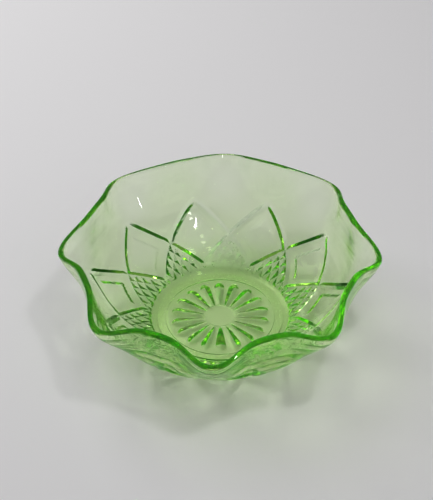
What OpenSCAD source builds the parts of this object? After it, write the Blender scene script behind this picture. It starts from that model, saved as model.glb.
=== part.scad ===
// Pressed glass dish with a crimped rim.
// The dish is one casting: foot ring, rayed base, curved wall and rim are features of the same
// piece of glass. The origin is on the axis, in the plane the foot stands on, and +Z is up.

/* [Foot and base] */
// Outer radius of the foot ring
foot_outer_r = 42; // [38:0.5:46]
// Inner radius of the foot ring
foot_inner_r = 36; // [33:0.5:37]
// Height of the foot ring below the wall
foot_h = 0.6; // [0.4:0.1:2]
// Depth of the hollow inside the foot ring
recess_depth = 0.8; // [0.5:0.1:2]
// Thickness of the glass over that hollow
base_thickness = 6.4; // [5:0.1:7.5]
// Radius of the flat floor inside the dish
floor_r = 34; // [28:0.5:38]

/* [Star under the base] */
// Number of rays cut into the base
star_rays = 18; // [12:1:24]
// Radius from the axis to the tips of the rays
star_outer_r = 31; // [24:0.5:32]
// Radius of the plain disc in the middle of the star
star_inner_r = 10; // [6:0.5:14]
// Width of a ray where it is cut
ray_width = 3.2; // [2:0.1:3.4]
// Depth of a ray
ray_depth = 1; // [0.4:0.1:1.6]

/* [Wall] */
// How far out the lower wall runs, outside, before it turns up
belly_outer_r = 62.5; // [58:0.5:66]
// Height of that turn, outside
belly_outer_h = 8; // [6:0.5:10]
// Radius at which the wall straightens towards the rim, outside
neck_outer_r = 87; // [84:0.5:89]
// Height at which the wall straightens, outside
neck_outer_h = 22; // [18:0.5:26]
// How far out the floor runs, inside, before it turns up
belly_inner_r = 55; // [52:0.5:57]
// Radius at which the wall straightens towards the rim, inside
neck_inner_r = 83.5; // [78:0.5:84]
// Height at which the wall straightens, inside
neck_inner_h = 27; // [25:0.5:34]

/* [Rim] */
// Radius of the middle line of the rim, before crimping
rim_r = 94; // [88:0.5:100]
// Height of the middle line of the rim, before crimping
rim_h = 61.9; // [56:0.1:68]
// Thickness of the rim
rim_thickness = 4.2; // [3.4:0.1:4.8]
// Number of scallops crimped into the rim
scallops = 8; // [6:1:12]
// How far a scallop leans out, and the notch beside it leans in
scallop_lean = 6; // [2:0.5:8]
// How far a scallop dips, and the notch beside it stands up
scallop_dip = 3.8; // [1:0.2:5]
// Share of a second wave, which narrows the notches and widens the scallops
scallop_sharpness = 0.19; // [0:0.01:0.3]
// Height at which the flutes under the scallops start
flute_start_h = 28; // [24:1:44]

/* [Quality] */
// Facets round the dish
around = 112; // [64:8:128]
// Steps along the inner wall, and along the outer wall
wall_steps = 15; // [10:1:18]
// Steps round the rim
rim_steps = 6; // [4:1:8]

/* [Hidden] */
floor_h = recess_depth + base_thickness;
rim_half = rim_thickness / 2;
// Unit vector across the wall at the rim, pointing out of the dish
neck_run = [rim_r - neck_outer_r, rim_h - neck_outer_h];
rim_out = [neck_run[1], -neck_run[0]] / norm(neck_run);
rim_lean = atan2(rim_out[1], rim_out[0]);
// Corners of the curve that the outer wall follows
outer_wall = [
    [foot_outer_r + 1, foot_h],
    [belly_outer_r, belly_outer_h],
    [neck_outer_r, neck_outer_h],
    [rim_r, rim_h] + rim_half * rim_out,
];
// Corners of the curve that the inner wall follows
inner_wall = [
    [floor_r, floor_h],
    [belly_inner_r, floor_h],
    [neck_inner_r, neck_inner_h],
    [rim_r, rim_h] - rim_half * rim_out,
];
// Angle from +X to the first ray
star_turn = 13.5;
// Steps across the flat floor
floor_steps = 3;
// How far a cut starts outside the glass
overcut = 0.5;
$fn = 96;

// Point at fraction t of a curve with four corners
function curve_at(c, t) =
    pow(1 - t, 3) * c[0] + 3 * t * pow(1 - t, 2) * c[1] + 3 * t * t * (1 - t) * c[2] + pow(t, 3) * c[3];

// Smooth step from 0 at a to 1 at b
function ease(x, a, b) = let (t = min(1, max(0, (x - a) / (b - a)))) t * t * (3 - 2 * t);

// Wave of the crimp at an angle: 1 in the middle of a scallop, -1 in a notch
function crimp(angle) = cos(scallops * angle) + scallop_sharpness * cos(2 * scallops * angle);

// The section of the wall as [radius, height], from the floor over the rim to the foot
section = concat(
    [for (i = [1 : floor_steps]) [floor_r * i / (floor_steps + 1), floor_h]],
    [for (i = [0 : wall_steps]) curve_at(inner_wall, i / wall_steps)],
    [for (i = [1 : rim_steps - 1])
        let (a = rim_lean + 180 - 180 * i / rim_steps)
        [rim_r + rim_half * cos(a), rim_h + rim_half * sin(a)]],
    [for (i = [wall_steps : -1 : 0]) curve_at(outer_wall, i / wall_steps)],
    [[foot_outer_r, 0]]
);

// A point of the section, turned to an angle and pushed out and down by the crimp
function place(p, angle) =
    let (
        wave = crimp(angle) * ease(p[1], flute_start_h, rim_h),
        r = p[0] + scallop_lean * wave
    )
    [r * cos(angle), r * sin(angle), p[1] - scallop_dip * wave];

rings = len(section);
shell_points = concat(
    [for (p = section) for (j = [0 : around - 1]) place(p, 360 * j / around)],
    [[0, 0, floor_h], [0, 0, 0]]
);
floor_centre = rings * around;
under_centre = floor_centre + 1;

// Index of point j on ring i, wrapping round the dish
function at(i, j) = i * around + j % around;

shell_faces = concat(
    [for (j = [0 : around - 1]) [floor_centre, at(0, j + 1), at(0, j)]],
    [for (i = [0 : rings - 2]) for (j = [0 : around - 1]) [at(i, j), at(i, j + 1), at(i + 1, j + 1)]],
    [for (i = [0 : rings - 2]) for (j = [0 : around - 1]) [at(i, j), at(i + 1, j + 1), at(i + 1, j)]],
    [for (j = [0 : around - 1]) [under_centre, at(rings - 1, j), at(rings - 1, j + 1)]]
);

// Glass body with a flat underside
module shell() {
    polyhedron(shell_points, shell_faces);
}

// One ray of the star: a V-shaped groove in the ceiling of the hollow
module ray() {
    ray_length = star_outer_r - star_inner_r;
    translate([(star_inner_r + star_outer_r) / 2, 0, recess_depth])
        rotate([90, 0, 90])
            linear_extrude(ray_length, center = true)
                polygon([[-ray_width / 2, -overcut], [ray_width / 2, -overcut], [0, ray_depth]]);
}

module dish() {
    color([0.55, 0.85, 0.25, 0.6])
        difference() {
            shell();
            translate([0, 0, -overcut])
                cylinder(r = foot_inner_r, h = recess_depth + overcut);
            for (i = [0 : star_rays - 1])
                rotate(star_turn + 360 * i / star_rays)
                    ray();
        }
}

dish();
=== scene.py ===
"""A pressed dish of yellow-green uranium glass, crimped at the rim, on a pale table.

The dish is one closed mesh. A Geometry Nodes tree turns its section round the axis, crimps the
rim and presses the pattern into the outside of the wall and the underside of the base.
All lengths are in metres.
"""
import math

import bpy
from mathutils import Matrix, Vector


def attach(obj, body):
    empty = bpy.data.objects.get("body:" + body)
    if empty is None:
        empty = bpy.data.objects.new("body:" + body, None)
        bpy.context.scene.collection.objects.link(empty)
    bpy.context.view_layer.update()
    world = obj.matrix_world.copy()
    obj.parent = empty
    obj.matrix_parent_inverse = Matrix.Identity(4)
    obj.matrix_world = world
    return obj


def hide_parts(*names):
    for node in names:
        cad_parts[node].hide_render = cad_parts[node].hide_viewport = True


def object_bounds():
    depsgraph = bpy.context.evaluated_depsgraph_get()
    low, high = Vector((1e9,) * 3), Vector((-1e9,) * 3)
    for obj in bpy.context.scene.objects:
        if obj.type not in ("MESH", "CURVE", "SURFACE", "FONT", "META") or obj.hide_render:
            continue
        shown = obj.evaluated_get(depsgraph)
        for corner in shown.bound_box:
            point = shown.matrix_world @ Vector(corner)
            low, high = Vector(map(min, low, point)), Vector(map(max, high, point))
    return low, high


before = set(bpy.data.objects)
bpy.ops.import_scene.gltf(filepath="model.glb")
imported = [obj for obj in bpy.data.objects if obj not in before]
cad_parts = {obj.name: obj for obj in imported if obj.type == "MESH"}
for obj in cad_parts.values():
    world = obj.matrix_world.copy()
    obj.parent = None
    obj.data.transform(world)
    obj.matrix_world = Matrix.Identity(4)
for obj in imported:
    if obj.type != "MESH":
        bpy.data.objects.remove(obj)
box_low, box_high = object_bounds()
MM = 0.001

# ---------------------------------------------------------------- sizes of the dish
width = box_high[0] - box_low[0]
height = box_high[2] - box_low[2]
floor_level = box_low[2]

rim_thickness = 4.2 * MM
scallops = 8
scallop_lean = 6 * MM
scallop_dip = 3.8 * MM
scallop_sharpness = 0.19
flute_start = 28 * MM

foot_outer = 42 * MM
foot_inner = 36 * MM
foot_height = 0.6 * MM
recess_depth = 0.8 * MM
base_thickness = 6.4 * MM
floor_radius = 34 * MM

rim_half = rim_thickness / 2
rim_radius = width / 2 - scallop_lean * (1 + scallop_sharpness) - rim_half
rim_height = height - scallop_dip * (1 - scallop_sharpness) - rim_half
floor_height = recess_depth + base_thickness

SIZES = {
    # section of the wall
    "Rim Radius": rim_radius,
    "Rim Height": rim_height,
    "Rim Half Thickness": rim_half,
    "Outer Belly Radius": 62.5 * MM,
    "Outer Belly Height": 8 * MM,
    "Outer Neck Radius": 87 * MM,
    "Outer Neck Height": 22 * MM,
    "Inner Belly Radius": 55 * MM,
    "Inner Neck Radius": 83.5 * MM,
    "Inner Neck Height": 27 * MM,
    # crimp of the rim
    "Scallops": scallops,
    "Scallop Lean": scallop_lean,
    "Scallop Dip": scallop_dip,
    "Scallop Sharpness": scallop_sharpness,
    "Flute Start": flute_start,
    # foot and base
    "Foot Outer Radius": foot_outer,
    "Foot Inner Radius": foot_inner,
    "Foot Height": foot_height,
    "Recess Depth": recess_depth,
    "Floor Radius": floor_radius,
    "Floor Height": floor_height,
    # arches pressed into the wall, measured along the wall from the foot
    "Arches": 10,
    "Arch Turn": math.radians(-3.0),
    "Arch Top": 57.5 * MM,
    "Arch Bottom": 6 * MM,
    "Arch Bend": 1.15,
    "Mitre Half Width": 2.7 * MM,
    "Mitre Depth": 1.7 * MM,
    "Diamond Pitch": 5.0 * MM,
    "Diamond Depth": 1.5 * MM,
    "Panel Inset": 7.5 * MM,
    "Panel Depth": 0.9 * MM,
    # star cut into the underside of the base
    "Rays": 18,
    "Ray Turn": math.radians(13.5),
    "Star Outer Radius": 31.5 * MM,
    "Star Inner Radius": 10 * MM,
    "Ray Half Width": 3.5 * MM,
    "Ray Slope": 0.57,
    "Disc Groove Depth": 0.3 * MM,
    # finish: edges sharper than this stay crisp
    "Crease Angle": math.radians(32.0),
    # fineness of the mesh
    "Facets Around": 720,
}
WHOLE = {"Facets Around"}

# How steeply the legs of the arches lean: their width across is this share of their width round
LEG_STEEPNESS = 0.77
# Lengths along the wall over which a cut deepens at its foot and runs out at its tip
CUT_RUN_IN = 5 * MM
CUT_RUN_OUT = 5.5 * MM
# How far the cuts run past the foot and the tip of the arches
FOOT_OVERRUN = 1 * MM
TIP_OVERRUN = 0.5 * MM
# Width over which the diamonds sink in along their two upper sides, and along their lower side
DIAMOND_EDGE = 0.8 * MM
DIAMOND_FOOT = 2 * MM
# How far a panel's sloping edge reaches to either side of its outline, and how round its corners are
PANEL_EDGE = 1.6 * MM
PANEL_CORNER = 2 * MM
# Half the width of the groove round the star's disc
DISC_GROOVE = 0.7 * MM
# How soon a ray widens from its point (1 is evenly), and the length of its round end
RAY_SWELL = 0.6
RAY_END = 4 * MM
# Plain glass inside and outside the star that gets rows as close as the star's
STAR_MARGIN_IN = 1 * MM
STAR_MARGIN_OUT = 0.5 * MM
# Width of the cone between the foot and the wall, and half the width of the foot ring's bevels
FOOT_FLARE = 1 * MM
FOOT_BEVEL = 0.1 * MM
# Height along the wall, above the foot of the arches, that gets the closer rows
CLOSE_ROWS = 23 * MM
# Points on each of the two curves that the wall follows
CURVE_STEPS = 160
# Plain wall above the arches in which the mesh columns straighten again
PATTERN_MARGIN = 5 * MM
# The middle and the half width of the band of mesh columns that follows a leg, as shares of the
# columns between an arch's axis and the next crossing
BAND_CENTRE = 13 / 36
BAND_SHARE = 4 / 36
# Nearest that a band comes to an axis or a crossing, in half widths of a mitre cut
BAND_GAP = 1.15


# ---------------------------------------------------------------- formulas written as nodes
class Value:
    """A number in a node tree. Sums written with it become Math nodes."""

    def __init__(self, tree, socket):
        self.tree = tree
        self.socket = socket

    def _join(self, operation, *terms):
        node = self.tree.nodes.new("ShaderNodeMath")
        node.operation = operation
        for slot, term in zip(node.inputs, terms):
            if isinstance(term, Value):
                self.tree.links.new(term.socket, slot)
            else:
                slot.default_value = term
        return Value(self.tree, node.outputs[0])

    def __add__(self, other):
        return self._join("ADD", self, other)

    def __radd__(self, other):
        return self._join("ADD", other, self)

    def __sub__(self, other):
        return self._join("SUBTRACT", self, other)

    def __rsub__(self, other):
        return self._join("SUBTRACT", other, self)

    def __mul__(self, other):
        return self._join("MULTIPLY", self, other)

    def __truediv__(self, other):
        return self._join("DIVIDE", self, other)

    def __rtruediv__(self, other):
        return self._join("DIVIDE", other, self)

    def power(self, other):
        return self._join("POWER", self, other)

    def abs(self):
        return self._join("ABSOLUTE", self)

    def cos(self):
        return self._join("COSINE", self)

    def sin(self):
        return self._join("SINE", self)

    def sign(self):
        return self._join("SIGN", self)

    def below(self, other):
        return self._join("LESS_THAN", self, other)

    def least(self, other):
        return self._join("MINIMUM", self, other)

    def most(self, other):
        return self._join("MAXIMUM", self, other)

    def soft_least(self, other, blend):
        return self._join("SMOOTH_MIN", self, other, blend)

    def swing(self, period):
        """Distance to the nearest multiple of the period, 0 to half the period."""
        return self._join("PINGPONG", self, period * 0.5)

    def ease(self, start, end):
        """Smooth step from 0 at start to 1 at end."""
        node = self.tree.nodes.new("ShaderNodeMapRange")
        node.interpolation_type = "SMOOTHSTEP"
        for name, term in (("Value", self), ("From Min", start), ("From Max", end)):
            if isinstance(term, Value):
                self.tree.links.new(term.socket, node.inputs[name])
            else:
                node.inputs[name].default_value = term
        return Value(self.tree, node.outputs["Result"])


def split(tree, vector_socket):
    """The three parts of a vector."""
    node = tree.nodes.new("ShaderNodeSeparateXYZ")
    tree.links.new(vector_socket, node.inputs[0])
    return [Value(tree, out) for out in node.outputs]


def joined(tree, x, y, z):
    """A vector from three values."""
    node = tree.nodes.new("ShaderNodeCombineXYZ")
    for slot, term in zip(node.inputs, (x, y, z)):
        if isinstance(term, Value):
            tree.links.new(term.socket, slot)
        else:
            slot.default_value = term
    return node.outputs[0]


# ---------------------------------------------------------------- the dish's own shapes
def crimp(size, radius, level, angle):
    """Push a point of the section out and down in a scallop, in and up in a notch."""
    turn = angle * size["Scallops"]
    wave = turn.cos() + (turn * 2).cos() * size["Scallop Sharpness"]
    wave = wave * level.ease(size["Flute Start"], size["Rim Height"])
    return radius + wave * size["Scallop Lean"], level - wave * size["Scallop Dip"]


def wall_curve(tree, corners):
    """The curve that one side of the wall follows, from four corners as [radius, level]."""
    node = tree.nodes.new("GeometryNodeCurvePrimitiveBezierSegment")
    node.inputs["Resolution"].default_value = CURVE_STEPS
    for name, (radius, level) in zip(("Start", "Start Handle", "End Handle", "End"), corners):
        tree.links.new(joined(tree, radius, 0.0, level), node.inputs[name])
    return node.outputs["Curve"]


def along(tree, curve, fraction):
    """Radius, level and outward direction at a fraction of a curve's length."""
    node = tree.nodes.new("GeometryNodeSampleCurve")
    node.mode = "FACTOR"
    tree.links.new(curve, node.inputs["Curves"])
    tree.links.new(fraction.socket, node.inputs["Factor"])
    radius, _, level = split(tree, node.outputs["Position"])
    run, _, climb = split(tree, node.outputs["Tangent"])
    return radius, level, climb, run * -1


def arch_legs(size, travel):
    """Angle between an arch's axis and its legs at a distance along the wall."""
    sector = 2 * math.pi / size["Arches"]
    from_top = (size["Arch Top"] - travel) / (size["Arch Top"] - size["Arch Bottom"])
    return from_top.most(0.0).power(size["Arch Bend"]) * sector


def pressed_pattern(size, travel, radius, angle):
    """How deep the outside of the wall is pressed in, at a distance along the wall."""
    sector = 2 * math.pi / size["Arches"]
    leg = arch_legs(size, travel)
    across = radius * LEG_STEEPNESS
    from_axis = (angle - size["Arch Turn"]).swing(sector)
    past_own = (from_axis - leg) * across
    before_next = (sector - from_axis - leg) * across

    # mitre cuts along both families of legs, running out at their ends
    foot = size["Arch Bottom"] - FOOT_OVERRUN
    tip = size["Arch Top"] + TIP_OVERRUN
    starts = travel.ease(foot, foot + CUT_RUN_IN)
    ends = 1 - travel.ease(tip - CUT_RUN_OUT, tip)
    nearest = past_own.abs().least(before_next.abs())
    mitre = (1 - nearest / size["Mitre Half Width"]).most(0.0)
    mitre = mitre * starts * ends * size["Mitre Depth"]

    # diamonds in the triangle under each crossing, cut parallel to its two sides
    pitch = size["Diamond Pitch"]
    first = before_next.swing(pitch) / (pitch * 0.5)
    second = past_own.swing(pitch) / (pitch * 0.5)
    inside = (before_next * -1).ease(0.0, DIAMOND_EDGE)
    low_end = travel.ease(foot - DIAMOND_FOOT, foot)
    diamonds = (1 - first.least(second)) * inside * low_end * size["Diamond Depth"]

    # a sunk panel inside each petal
    margin = (past_own * -1).soft_least(before_next, PANEL_CORNER)
    panel = margin.ease(size["Panel Inset"] - PANEL_EDGE, size["Panel Inset"] + PANEL_EDGE)
    panel = panel * starts * size["Panel Depth"]
    return mitre.most(diamonds).most(panel)


def follow_legs(size, travel, radius, angle):
    """Slide the columns of the mesh sideways so that a band of them runs along each leg."""
    half = math.pi / size["Arches"]
    from_axis = (angle - size["Arch Turn"]).swing(half * 2)
    side = ((angle - size["Arch Turn"]) * size["Arches"]).sin().sign()
    column = from_axis / half
    leg = arch_legs(size, travel)
    leg = leg.least(half * 2 - leg)
    band = size["Mitre Half Width"] / (radius * LEG_STEEPNESS)
    # the columns bend to the legs at the foot of the wall and straighten above the arches
    held = travel.ease(0.0, size["Arch Bottom"] + 1 * MM)
    held = held * (1 - travel.ease(size["Arch Top"] - 1 * MM, size["Arch Top"] + PATTERN_MARGIN))
    leg = leg.most(band * BAND_GAP).least(half - band * BAND_GAP)
    centre = half * BAND_CENTRE
    leg = centre + (leg - centre) * held
    even = half * BAND_SHARE
    band = even + (band - even) * held
    # three stretches of columns: up to the band, across it, and on to the crossing
    low = BAND_CENTRE - BAND_SHARE
    high = BAND_CENTRE + BAND_SHARE
    bent = (leg - band) * (column / low).least(1.0)
    bent = bent + band * 2 * ((column - low) / (high - low)).most(0.0).least(1.0)
    bent = bent + (half - leg - band) * ((column - high) / (1 - high)).most(0.0)
    return angle + (bent - from_axis) * side


def star(size, radius, angle):
    """How deep the underside of the base is cut by the rays and by the ring round the disc."""
    spacing = 2 * math.pi / size["Rays"]
    off_axis = (angle - size["Ray Turn"]).swing(spacing).sin() * radius
    shoulder = size["Star Outer Radius"] - RAY_END
    widen = (radius - size["Star Inner Radius"]) / (shoulder - size["Star Inner Radius"])
    widen = widen.most(0.0).least(1.0).power(RAY_SWELL)
    close = ((radius - shoulder) / RAY_END).most(0.0).least(1.0)
    close = (1 - close * close).power(0.5)
    reach = size["Ray Half Width"] * widen * close
    rays = (reach - off_axis).most(0.0) * size["Ray Slope"]
    ring = 1 - ((radius - size["Star Inner Radius"]) / DISC_GROOVE).abs()
    return rays.most(ring * size["Disc Groove Depth"])


def press_dish(tree, size):
    """The closed skin of the dish as patches, each turned round the axis."""
    rim_run = size["Rim Radius"] - size["Outer Neck Radius"]
    rim_climb = size["Rim Height"] - size["Outer Neck Height"]
    rim_length = (rim_run * rim_run + rim_climb * rim_climb).power(0.5)
    out_r = rim_climb / rim_length
    out_z = rim_run / rim_length * -1
    half = size["Rim Half Thickness"]
    outer = wall_curve(tree, (
        (size["Foot Outer Radius"] + FOOT_FLARE, size["Foot Height"]),
        (size["Outer Belly Radius"], size["Outer Belly Height"]),
        (size["Outer Neck Radius"], size["Outer Neck Height"]),
        (size["Rim Radius"] + out_r * half, size["Rim Height"] + out_z * half),
    ))
    inner = wall_curve(tree, (
        (size["Floor Radius"], size["Floor Height"]),
        (size["Inner Belly Radius"], size["Floor Height"]),
        (size["Inner Neck Radius"], size["Inner Neck Height"]),
        (size["Rim Radius"] - out_r * half, size["Rim Height"] - out_z * half),
    ))
    length_node = tree.nodes.new("GeometryNodeCurveLength")
    tree.links.new(outer, length_node.inputs["Curve"])
    wall_length = Value(tree, length_node.outputs["Length"])
    pattern_share = (size["Arch Top"] + PATTERN_MARGIN) / wall_length

    def underside(start, end):
        def skin(v, angle):
            radius = start + (end - start) * v
            return radius, size["Recess Depth"] + star(size, radius, angle), angle
        return skin

    def cone(start, end):
        def skin(v, angle):
            radius = start[0] + (end[0] - start[0]) * v
            level = start[1] + (end[1] - start[1]) * v
            return radius, level, angle
        return skin

    def outer_wall(start, end):
        def skin(v, angle):
            share = start + (end - start) * v
            travel = share * wall_length
            radius, level, out_radius, out_level = along(tree, outer, share)
            bent = follow_legs(size, travel, radius, angle)
            depth = pressed_pattern(size, travel, radius, bent)
            return radius - out_radius * depth, level - out_level * depth, bent
        return skin

    def rim(v, angle):
        lift = v * math.pi
        cos_v = lift.cos()
        sin_v = lift.sin()
        radius = size["Rim Radius"] + (out_r * cos_v - out_z * sin_v) * half
        level = size["Rim Height"] + (out_z * cos_v + out_r * sin_v) * half
        return radius, level, angle

    def inner_wall(v, angle):
        radius, level, _, _ = along(tree, inner, 1 - v)
        return radius, level, angle

    nothing = size["Recess Depth"] * 0
    inner_r = size["Foot Inner Radius"]
    outer_r = size["Foot Outer Radius"]
    ring_r = size["Star Inner Radius"]
    star_start = ring_r - STAR_MARGIN_IN
    star_end = size["Star Outer Radius"] + STAR_MARGIN_OUT
    recess = size["Recess Depth"]
    in_top = (inner_r - FOOT_BEVEL, recess)
    in_base = (inner_r + FOOT_BEVEL, nothing)
    out_base = (outer_r - FOOT_BEVEL, nothing)
    wall_start = (outer_r + FOOT_FLARE, size["Foot Height"])
    close_share = (size["Arch Bottom"] + CLOSE_ROWS) / wall_length
    floor_edge = (size["Floor Radius"], size["Floor Height"])
    floor_middle = (nothing, size["Floor Height"])
    # rows of the mesh on each patch, and its section, from under the dish over the rim to the floor
    patches = [
        (2, underside(nothing, star_start)),
        (20, underside(star_start, star_end)),
        (2, underside(star_end, in_top[0])),
        (2, cone(in_top, in_base)),
        (3, cone(in_base, out_base)),
        (2, cone(out_base, wall_start)),
        (46, outer_wall(0.0, close_share)),
        (30, outer_wall(close_share, pattern_share)),
        (7, outer_wall(pattern_share, 1.0)),
        (8, rim),
        (13, inner_wall),
        (2, cone(floor_edge, floor_middle)),
    ]
    return [turned(tree, size, rows, section) for rows, section in patches]


def turned(tree, size, rows, section):
    """One patch of the skin: a sheet bent round the axis along a stretch of the section."""
    grid = tree.nodes.new("GeometryNodeMeshGrid")
    grid.inputs["Size X"].default_value = 1.0
    grid.inputs["Size Y"].default_value = 1.0
    grid.inputs["Vertices Y"].default_value = rows + 1
    columns = size["Facets Around"] + 1
    tree.links.new(columns.socket, grid.inputs["Vertices X"])
    position = tree.nodes.new("GeometryNodeInputPosition")
    across, up, _ = split(tree, position.outputs[0])
    angle = (across + 0.5) * (2 * math.pi)
    radius, level, angle = section(up + 0.5, angle)
    radius, level = crimp(size, radius, level, angle)
    place = tree.nodes.new("GeometryNodeSetPosition")
    tree.links.new(grid.outputs["Mesh"], place.inputs["Geometry"])
    point = joined(tree, radius * angle.cos(), radius * angle.sin(), level)
    tree.links.new(point, place.inputs["Position"])
    return place.outputs["Geometry"]


def dish_tree(glass):
    """The Geometry Nodes tree that presses the dish, with its sizes as named inputs."""
    tree = bpy.data.node_groups.new("pressed_dish_nodes", "GeometryNodeTree")
    face = tree.interface
    for name in SIZES:
        kind = "NodeSocketInt" if name in WHOLE else "NodeSocketFloat"
        face.new_socket(name, in_out="INPUT", socket_type=kind)
    face.new_socket("Dish", in_out="OUTPUT", socket_type="NodeSocketGeometry")
    given = tree.nodes.new("NodeGroupInput")
    size = {name: Value(tree, given.outputs[name]) for name in SIZES}

    gather = tree.nodes.new("GeometryNodeJoinGeometry")
    for patch in press_dish(tree, size):
        tree.links.new(patch, gather.inputs["Geometry"])
    weld = tree.nodes.new("GeometryNodeMergeByDistance")
    weld.inputs["Distance"].default_value = 0.002 * MM
    smooth = tree.nodes.new("GeometryNodeSetShadeSmooth")
    smooth.domain = "EDGE"
    edges = tree.nodes.new("GeometryNodeInputMeshEdgeAngle")
    gentle = Value(tree, edges.outputs["Unsigned Angle"]).below(size["Crease Angle"])
    tree.links.new(gentle.socket, smooth.inputs["Shade Smooth"])
    realize = tree.nodes.new("GeometryNodeRealizeInstances")
    paint = tree.nodes.new("GeometryNodeSetMaterial")
    paint.inputs["Material"].default_value = glass
    result = tree.nodes.new("NodeGroupOutput")
    chain = (gather, weld, smooth, realize, paint, result)
    for before, after in zip(chain, chain[1:]):
        tree.links.new(before.outputs[0], after.inputs[0])
    return tree


def make_dish(glass):
    """The dish as a plain mesh."""
    start = bpy.data.objects.new("dish_blank", bpy.data.meshes.new("dish_blank"))
    bpy.context.scene.collection.objects.link(start)
    tree = dish_tree(glass)
    press = start.modifiers.new("press", "NODES")
    press.node_group = tree
    for item in tree.interface.items_tree:
        if item.item_type == "SOCKET" and item.in_out == "INPUT":
            press[item.identifier] = SIZES[item.name]
    shaped = start.evaluated_get(bpy.context.evaluated_depsgraph_get())
    mesh = bpy.data.meshes.new_from_object(shaped)
    mesh.name = "pressed_dish"
    bpy.data.objects.remove(start)
    dish = bpy.data.objects.new("pressed_dish", mesh)
    bpy.context.scene.collection.objects.link(dish)
    return dish


# ---------------------------------------------------------------- materials
def shader_group(name, inputs, outputs):
    """An empty shader node group with its sockets, and its two end nodes."""
    tree = bpy.data.node_groups.new(name, "ShaderNodeTree")
    for label, kind, value in inputs:
        socket = tree.interface.new_socket(label, in_out="INPUT", socket_type=kind)
        socket.default_value = value
    for label, kind in outputs:
        tree.interface.new_socket(label, in_out="OUTPUT", socket_type=kind)
    return tree, tree.nodes.new("NodeGroupInput"), tree.nodes.new("NodeGroupOutput")


def fire_polish():
    """The slow ripple that hot glass keeps after its surface is melted smooth."""
    tree, given, result = shader_group(
        "fire_polish",
        [("Ripple Scale", "NodeSocketFloat", 60.0)],
        [("Height", "NodeSocketFloat")],
    )
    place = tree.nodes.new("ShaderNodeTexCoord")
    ripple = tree.nodes.new("ShaderNodeTexNoise")
    ripple.inputs["Detail"].default_value = 1.0
    tree.links.new(place.outputs["Object"], ripple.inputs["Vector"])
    tree.links.new(given.outputs["Ripple Scale"], ripple.inputs["Scale"])
    tree.links.new(ripple.outputs["Fac"], result.inputs["Height"])
    return tree


def foot_wear():
    """Fine scratches where the foot has slid on shelves: a roughness that fades above the foot."""
    tree, given, result = shader_group(
        "foot_wear",
        [("Worn Height", "NodeSocketFloat", 0.4 * MM), ("Clean Roughness", "NodeSocketFloat", 0.0),
         ("Worn Roughness", "NodeSocketFloat", 0.3)],
        [("Roughness", "NodeSocketFloat")],
    )
    place = tree.nodes.new("ShaderNodeTexCoord")
    scratches = tree.nodes.new("ShaderNodeTexNoise")
    scratches.inputs["Scale"].default_value = 900.0
    tree.links.new(place.outputs["Object"], scratches.inputs["Vector"])
    _, _, level = split(tree, place.outputs["Object"])
    clean = Value(tree, given.outputs["Clean Roughness"])
    worn = Value(tree, given.outputs["Worn Roughness"])
    mask = 1 - level.ease(0.0, Value(tree, given.outputs["Worn Height"]))
    rubbed = Value(tree, scratches.outputs["Fac"]).ease(0.35, 0.65)
    rough = clean + (worn - clean) * mask * rubbed
    tree.links.new(rough.socket, result.inputs["Roughness"])
    return tree


def uranium_glass():
    """Clear green glass: smooth surface, colour from the depth of glass the light crosses, and a
    faint painted green glow.
    """
    material = bpy.data.materials.new("uranium_glass")
    material.use_nodes = True
    tree = material.node_tree
    tree.nodes.clear()
    glass = tree.nodes.new("ShaderNodeBsdfPrincipled")
    glass.inputs["Base Color"].default_value = (1, 1, 1, 1)
    glass.inputs["Metallic"].default_value = 0.0
    glass.inputs["IOR"].default_value = 1.54
    glass.inputs["Transmission Weight"].default_value = 1.0
    # painted light: a faint green glow over all the glass that lightens its shaded and dark parts
    glass.inputs["Emission Color"].default_value = (0.3, 1, 0.05, 1)
    glass.inputs["Emission Strength"].default_value = 0.005
    wear = tree.nodes.new("ShaderNodeGroup")
    wear.node_tree = foot_wear()
    tree.links.new(wear.outputs["Roughness"], glass.inputs["Roughness"])
    polish = tree.nodes.new("ShaderNodeGroup")
    polish.node_tree = fire_polish()
    bump = tree.nodes.new("ShaderNodeBump")
    bump.inputs["Strength"].default_value = 1.0
    bump.inputs["Distance"].default_value = 0.3 * MM
    tree.links.new(polish.outputs["Height"], bump.inputs["Height"])
    tree.links.new(bump.outputs["Normal"], glass.inputs["Normal"])
    depth = tree.nodes.new("ShaderNodeVolumeAbsorption")
    depth.inputs["Color"].default_value = (0.62, 0.91, 0.12, 1)
    depth.inputs["Density"].default_value = 61.0
    out = tree.nodes.new("ShaderNodeOutputMaterial")
    tree.links.new(glass.outputs["BSDF"], out.inputs["Surface"])
    tree.links.new(depth.outputs["Volume"], out.inputs["Volume"])
    return material


def table_paint():
    """Matt pale grey paint of the table."""
    material = bpy.data.materials.new("table_paint")
    material.use_nodes = True
    paint = material.node_tree.nodes["Principled BSDF"]
    paint.inputs["Base Color"].default_value = (0.80, 0.79, 0.80, 1)
    paint.inputs["Roughness"].default_value = 0.9
    return material


# ---------------------------------------------------------------- table, light and camera
def make_table():
    """A wide flat table just under the foot."""
    reach = 4.0
    gap = 0.1 * MM
    level = floor_level - gap
    mesh = bpy.data.meshes.new("table")
    square = ((-1, -1), (1, -1), (1, 1), (-1, 1))
    corners = [(x * reach, y * reach, level) for x, y in square]
    mesh.from_pydata(corners, [], [(0, 1, 2, 3)])
    table = bpy.data.objects.new("table", mesh)
    bpy.context.scene.collection.objects.link(table)
    mesh.materials.append(table_paint())


def direction(azimuth, elevation):
    """The unit vector at an angle round the axis from +X and an angle above the table."""
    flat = math.cos(elevation)
    return Vector((flat * math.cos(azimuth), flat * math.sin(azimuth), math.sin(elevation)))


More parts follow.
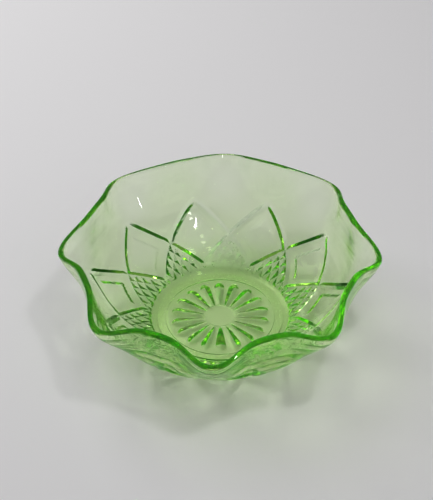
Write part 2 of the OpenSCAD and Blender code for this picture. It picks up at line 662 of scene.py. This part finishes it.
def square_light(name, place, side, watts):
    """A square light that points at the foot of the dish."""
    lamp = bpy.data.lights.new(name, "AREA")
    lamp.shape = "SQUARE"
    lamp.size = side
    lamp.energy = watts
    light = bpy.data.objects.new(name, lamp)
    light.location = place
    light.rotation_euler = (-Vector(place)).to_track_quat("-Z", "Y").to_euler()
    bpy.context.scene.collection.objects.link(light)
    return light


def sky():
    """Soft white light, bright overhead and dim near the horizon."""
    world = bpy.data.worlds.new("room")
    world.use_nodes = True
    tree = world.node_tree
    view = tree.nodes.new("ShaderNodeTexCoord")
    _, _, up = split(tree, view.outputs["Generated"])
    horizon_glow = 0.10
    overhead_glow = 0.28
    glow = horizon_glow + up.ease(0.1, 0.8) * (overhead_glow - horizon_glow)
    background = tree.nodes["Background"]
    background.inputs["Color"].default_value = (1, 1, 1, 1)
    tree.links.new(glow.socket, background.inputs["Strength"])
    return world


def make_light():
    """A big soft window behind and to the left, a small ceiling lamp, and a climbing row of bulbs."""
    window = square_light("window", (-0.60, 0.56, 0.80), side=1.0, watts=6.4)
    window.visible_glossy = False
    ceiling = square_light("ceiling", (0.30, -0.10, 0.95), side=0.10, watts=0.85)
    ceiling.visible_glossy = False
    bulbs = 6
    bulb_distance = 0.9
    for step in range(bulbs):
        turn = math.radians(-57 - 0.8 * step)
        rise = math.radians(36 + 8 * step)
        square_light(f"bulb_{step}", direction(turn, rise) * bulb_distance, side=0.03, watts=0.08)
    bpy.context.scene.world = sky()


def make_camera():
    """A long lens that looks down at the dish."""
    distance = 1.1318
    aim = Vector((-0.0035, 0.0313, 0.0342))
    roll = math.radians(-0.66)
    place = direction(math.radians(-87.12), math.radians(43.68)) * distance
    lens = bpy.data.cameras.new("camera")
    lens.lens = 123.7
    lens.sensor_width = 36.0
    camera = bpy.data.objects.new("camera", lens)
    turn = (aim - place).to_track_quat("-Z", "Y").to_matrix().to_4x4()
    camera.matrix_world = Matrix.Translation(place) @ turn @ Matrix.Rotation(roll, 4, "Z")
    bpy.context.scene.collection.objects.link(camera)
    bpy.context.scene.camera = camera


def set_looks():
    """Contrast of the picture, and how many times light may pass through the glass."""
    scene = bpy.context.scene
    scene.view_settings.view_transform = "Standard"
    scene.view_settings.look = "Medium High Contrast"
    scene.cycles.max_bounces = 24
    scene.cycles.transmission_bounces = 24
    scene.cycles.glossy_bounces = 12
    scene.cycles.diffuse_bounces = 4
    scene.cycles.transparent_max_bounces = 16
    scene.cycles.sample_clamp_indirect = 8.0
    scene.cycles.blur_glossy = 0.0


# ---------------------------------------------------------------- the scene
make_camera()
glass = uranium_glass()
dish = make_dish(glass)
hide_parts("dish")
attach(dish, "root")
make_table()
make_light()
set_looks()
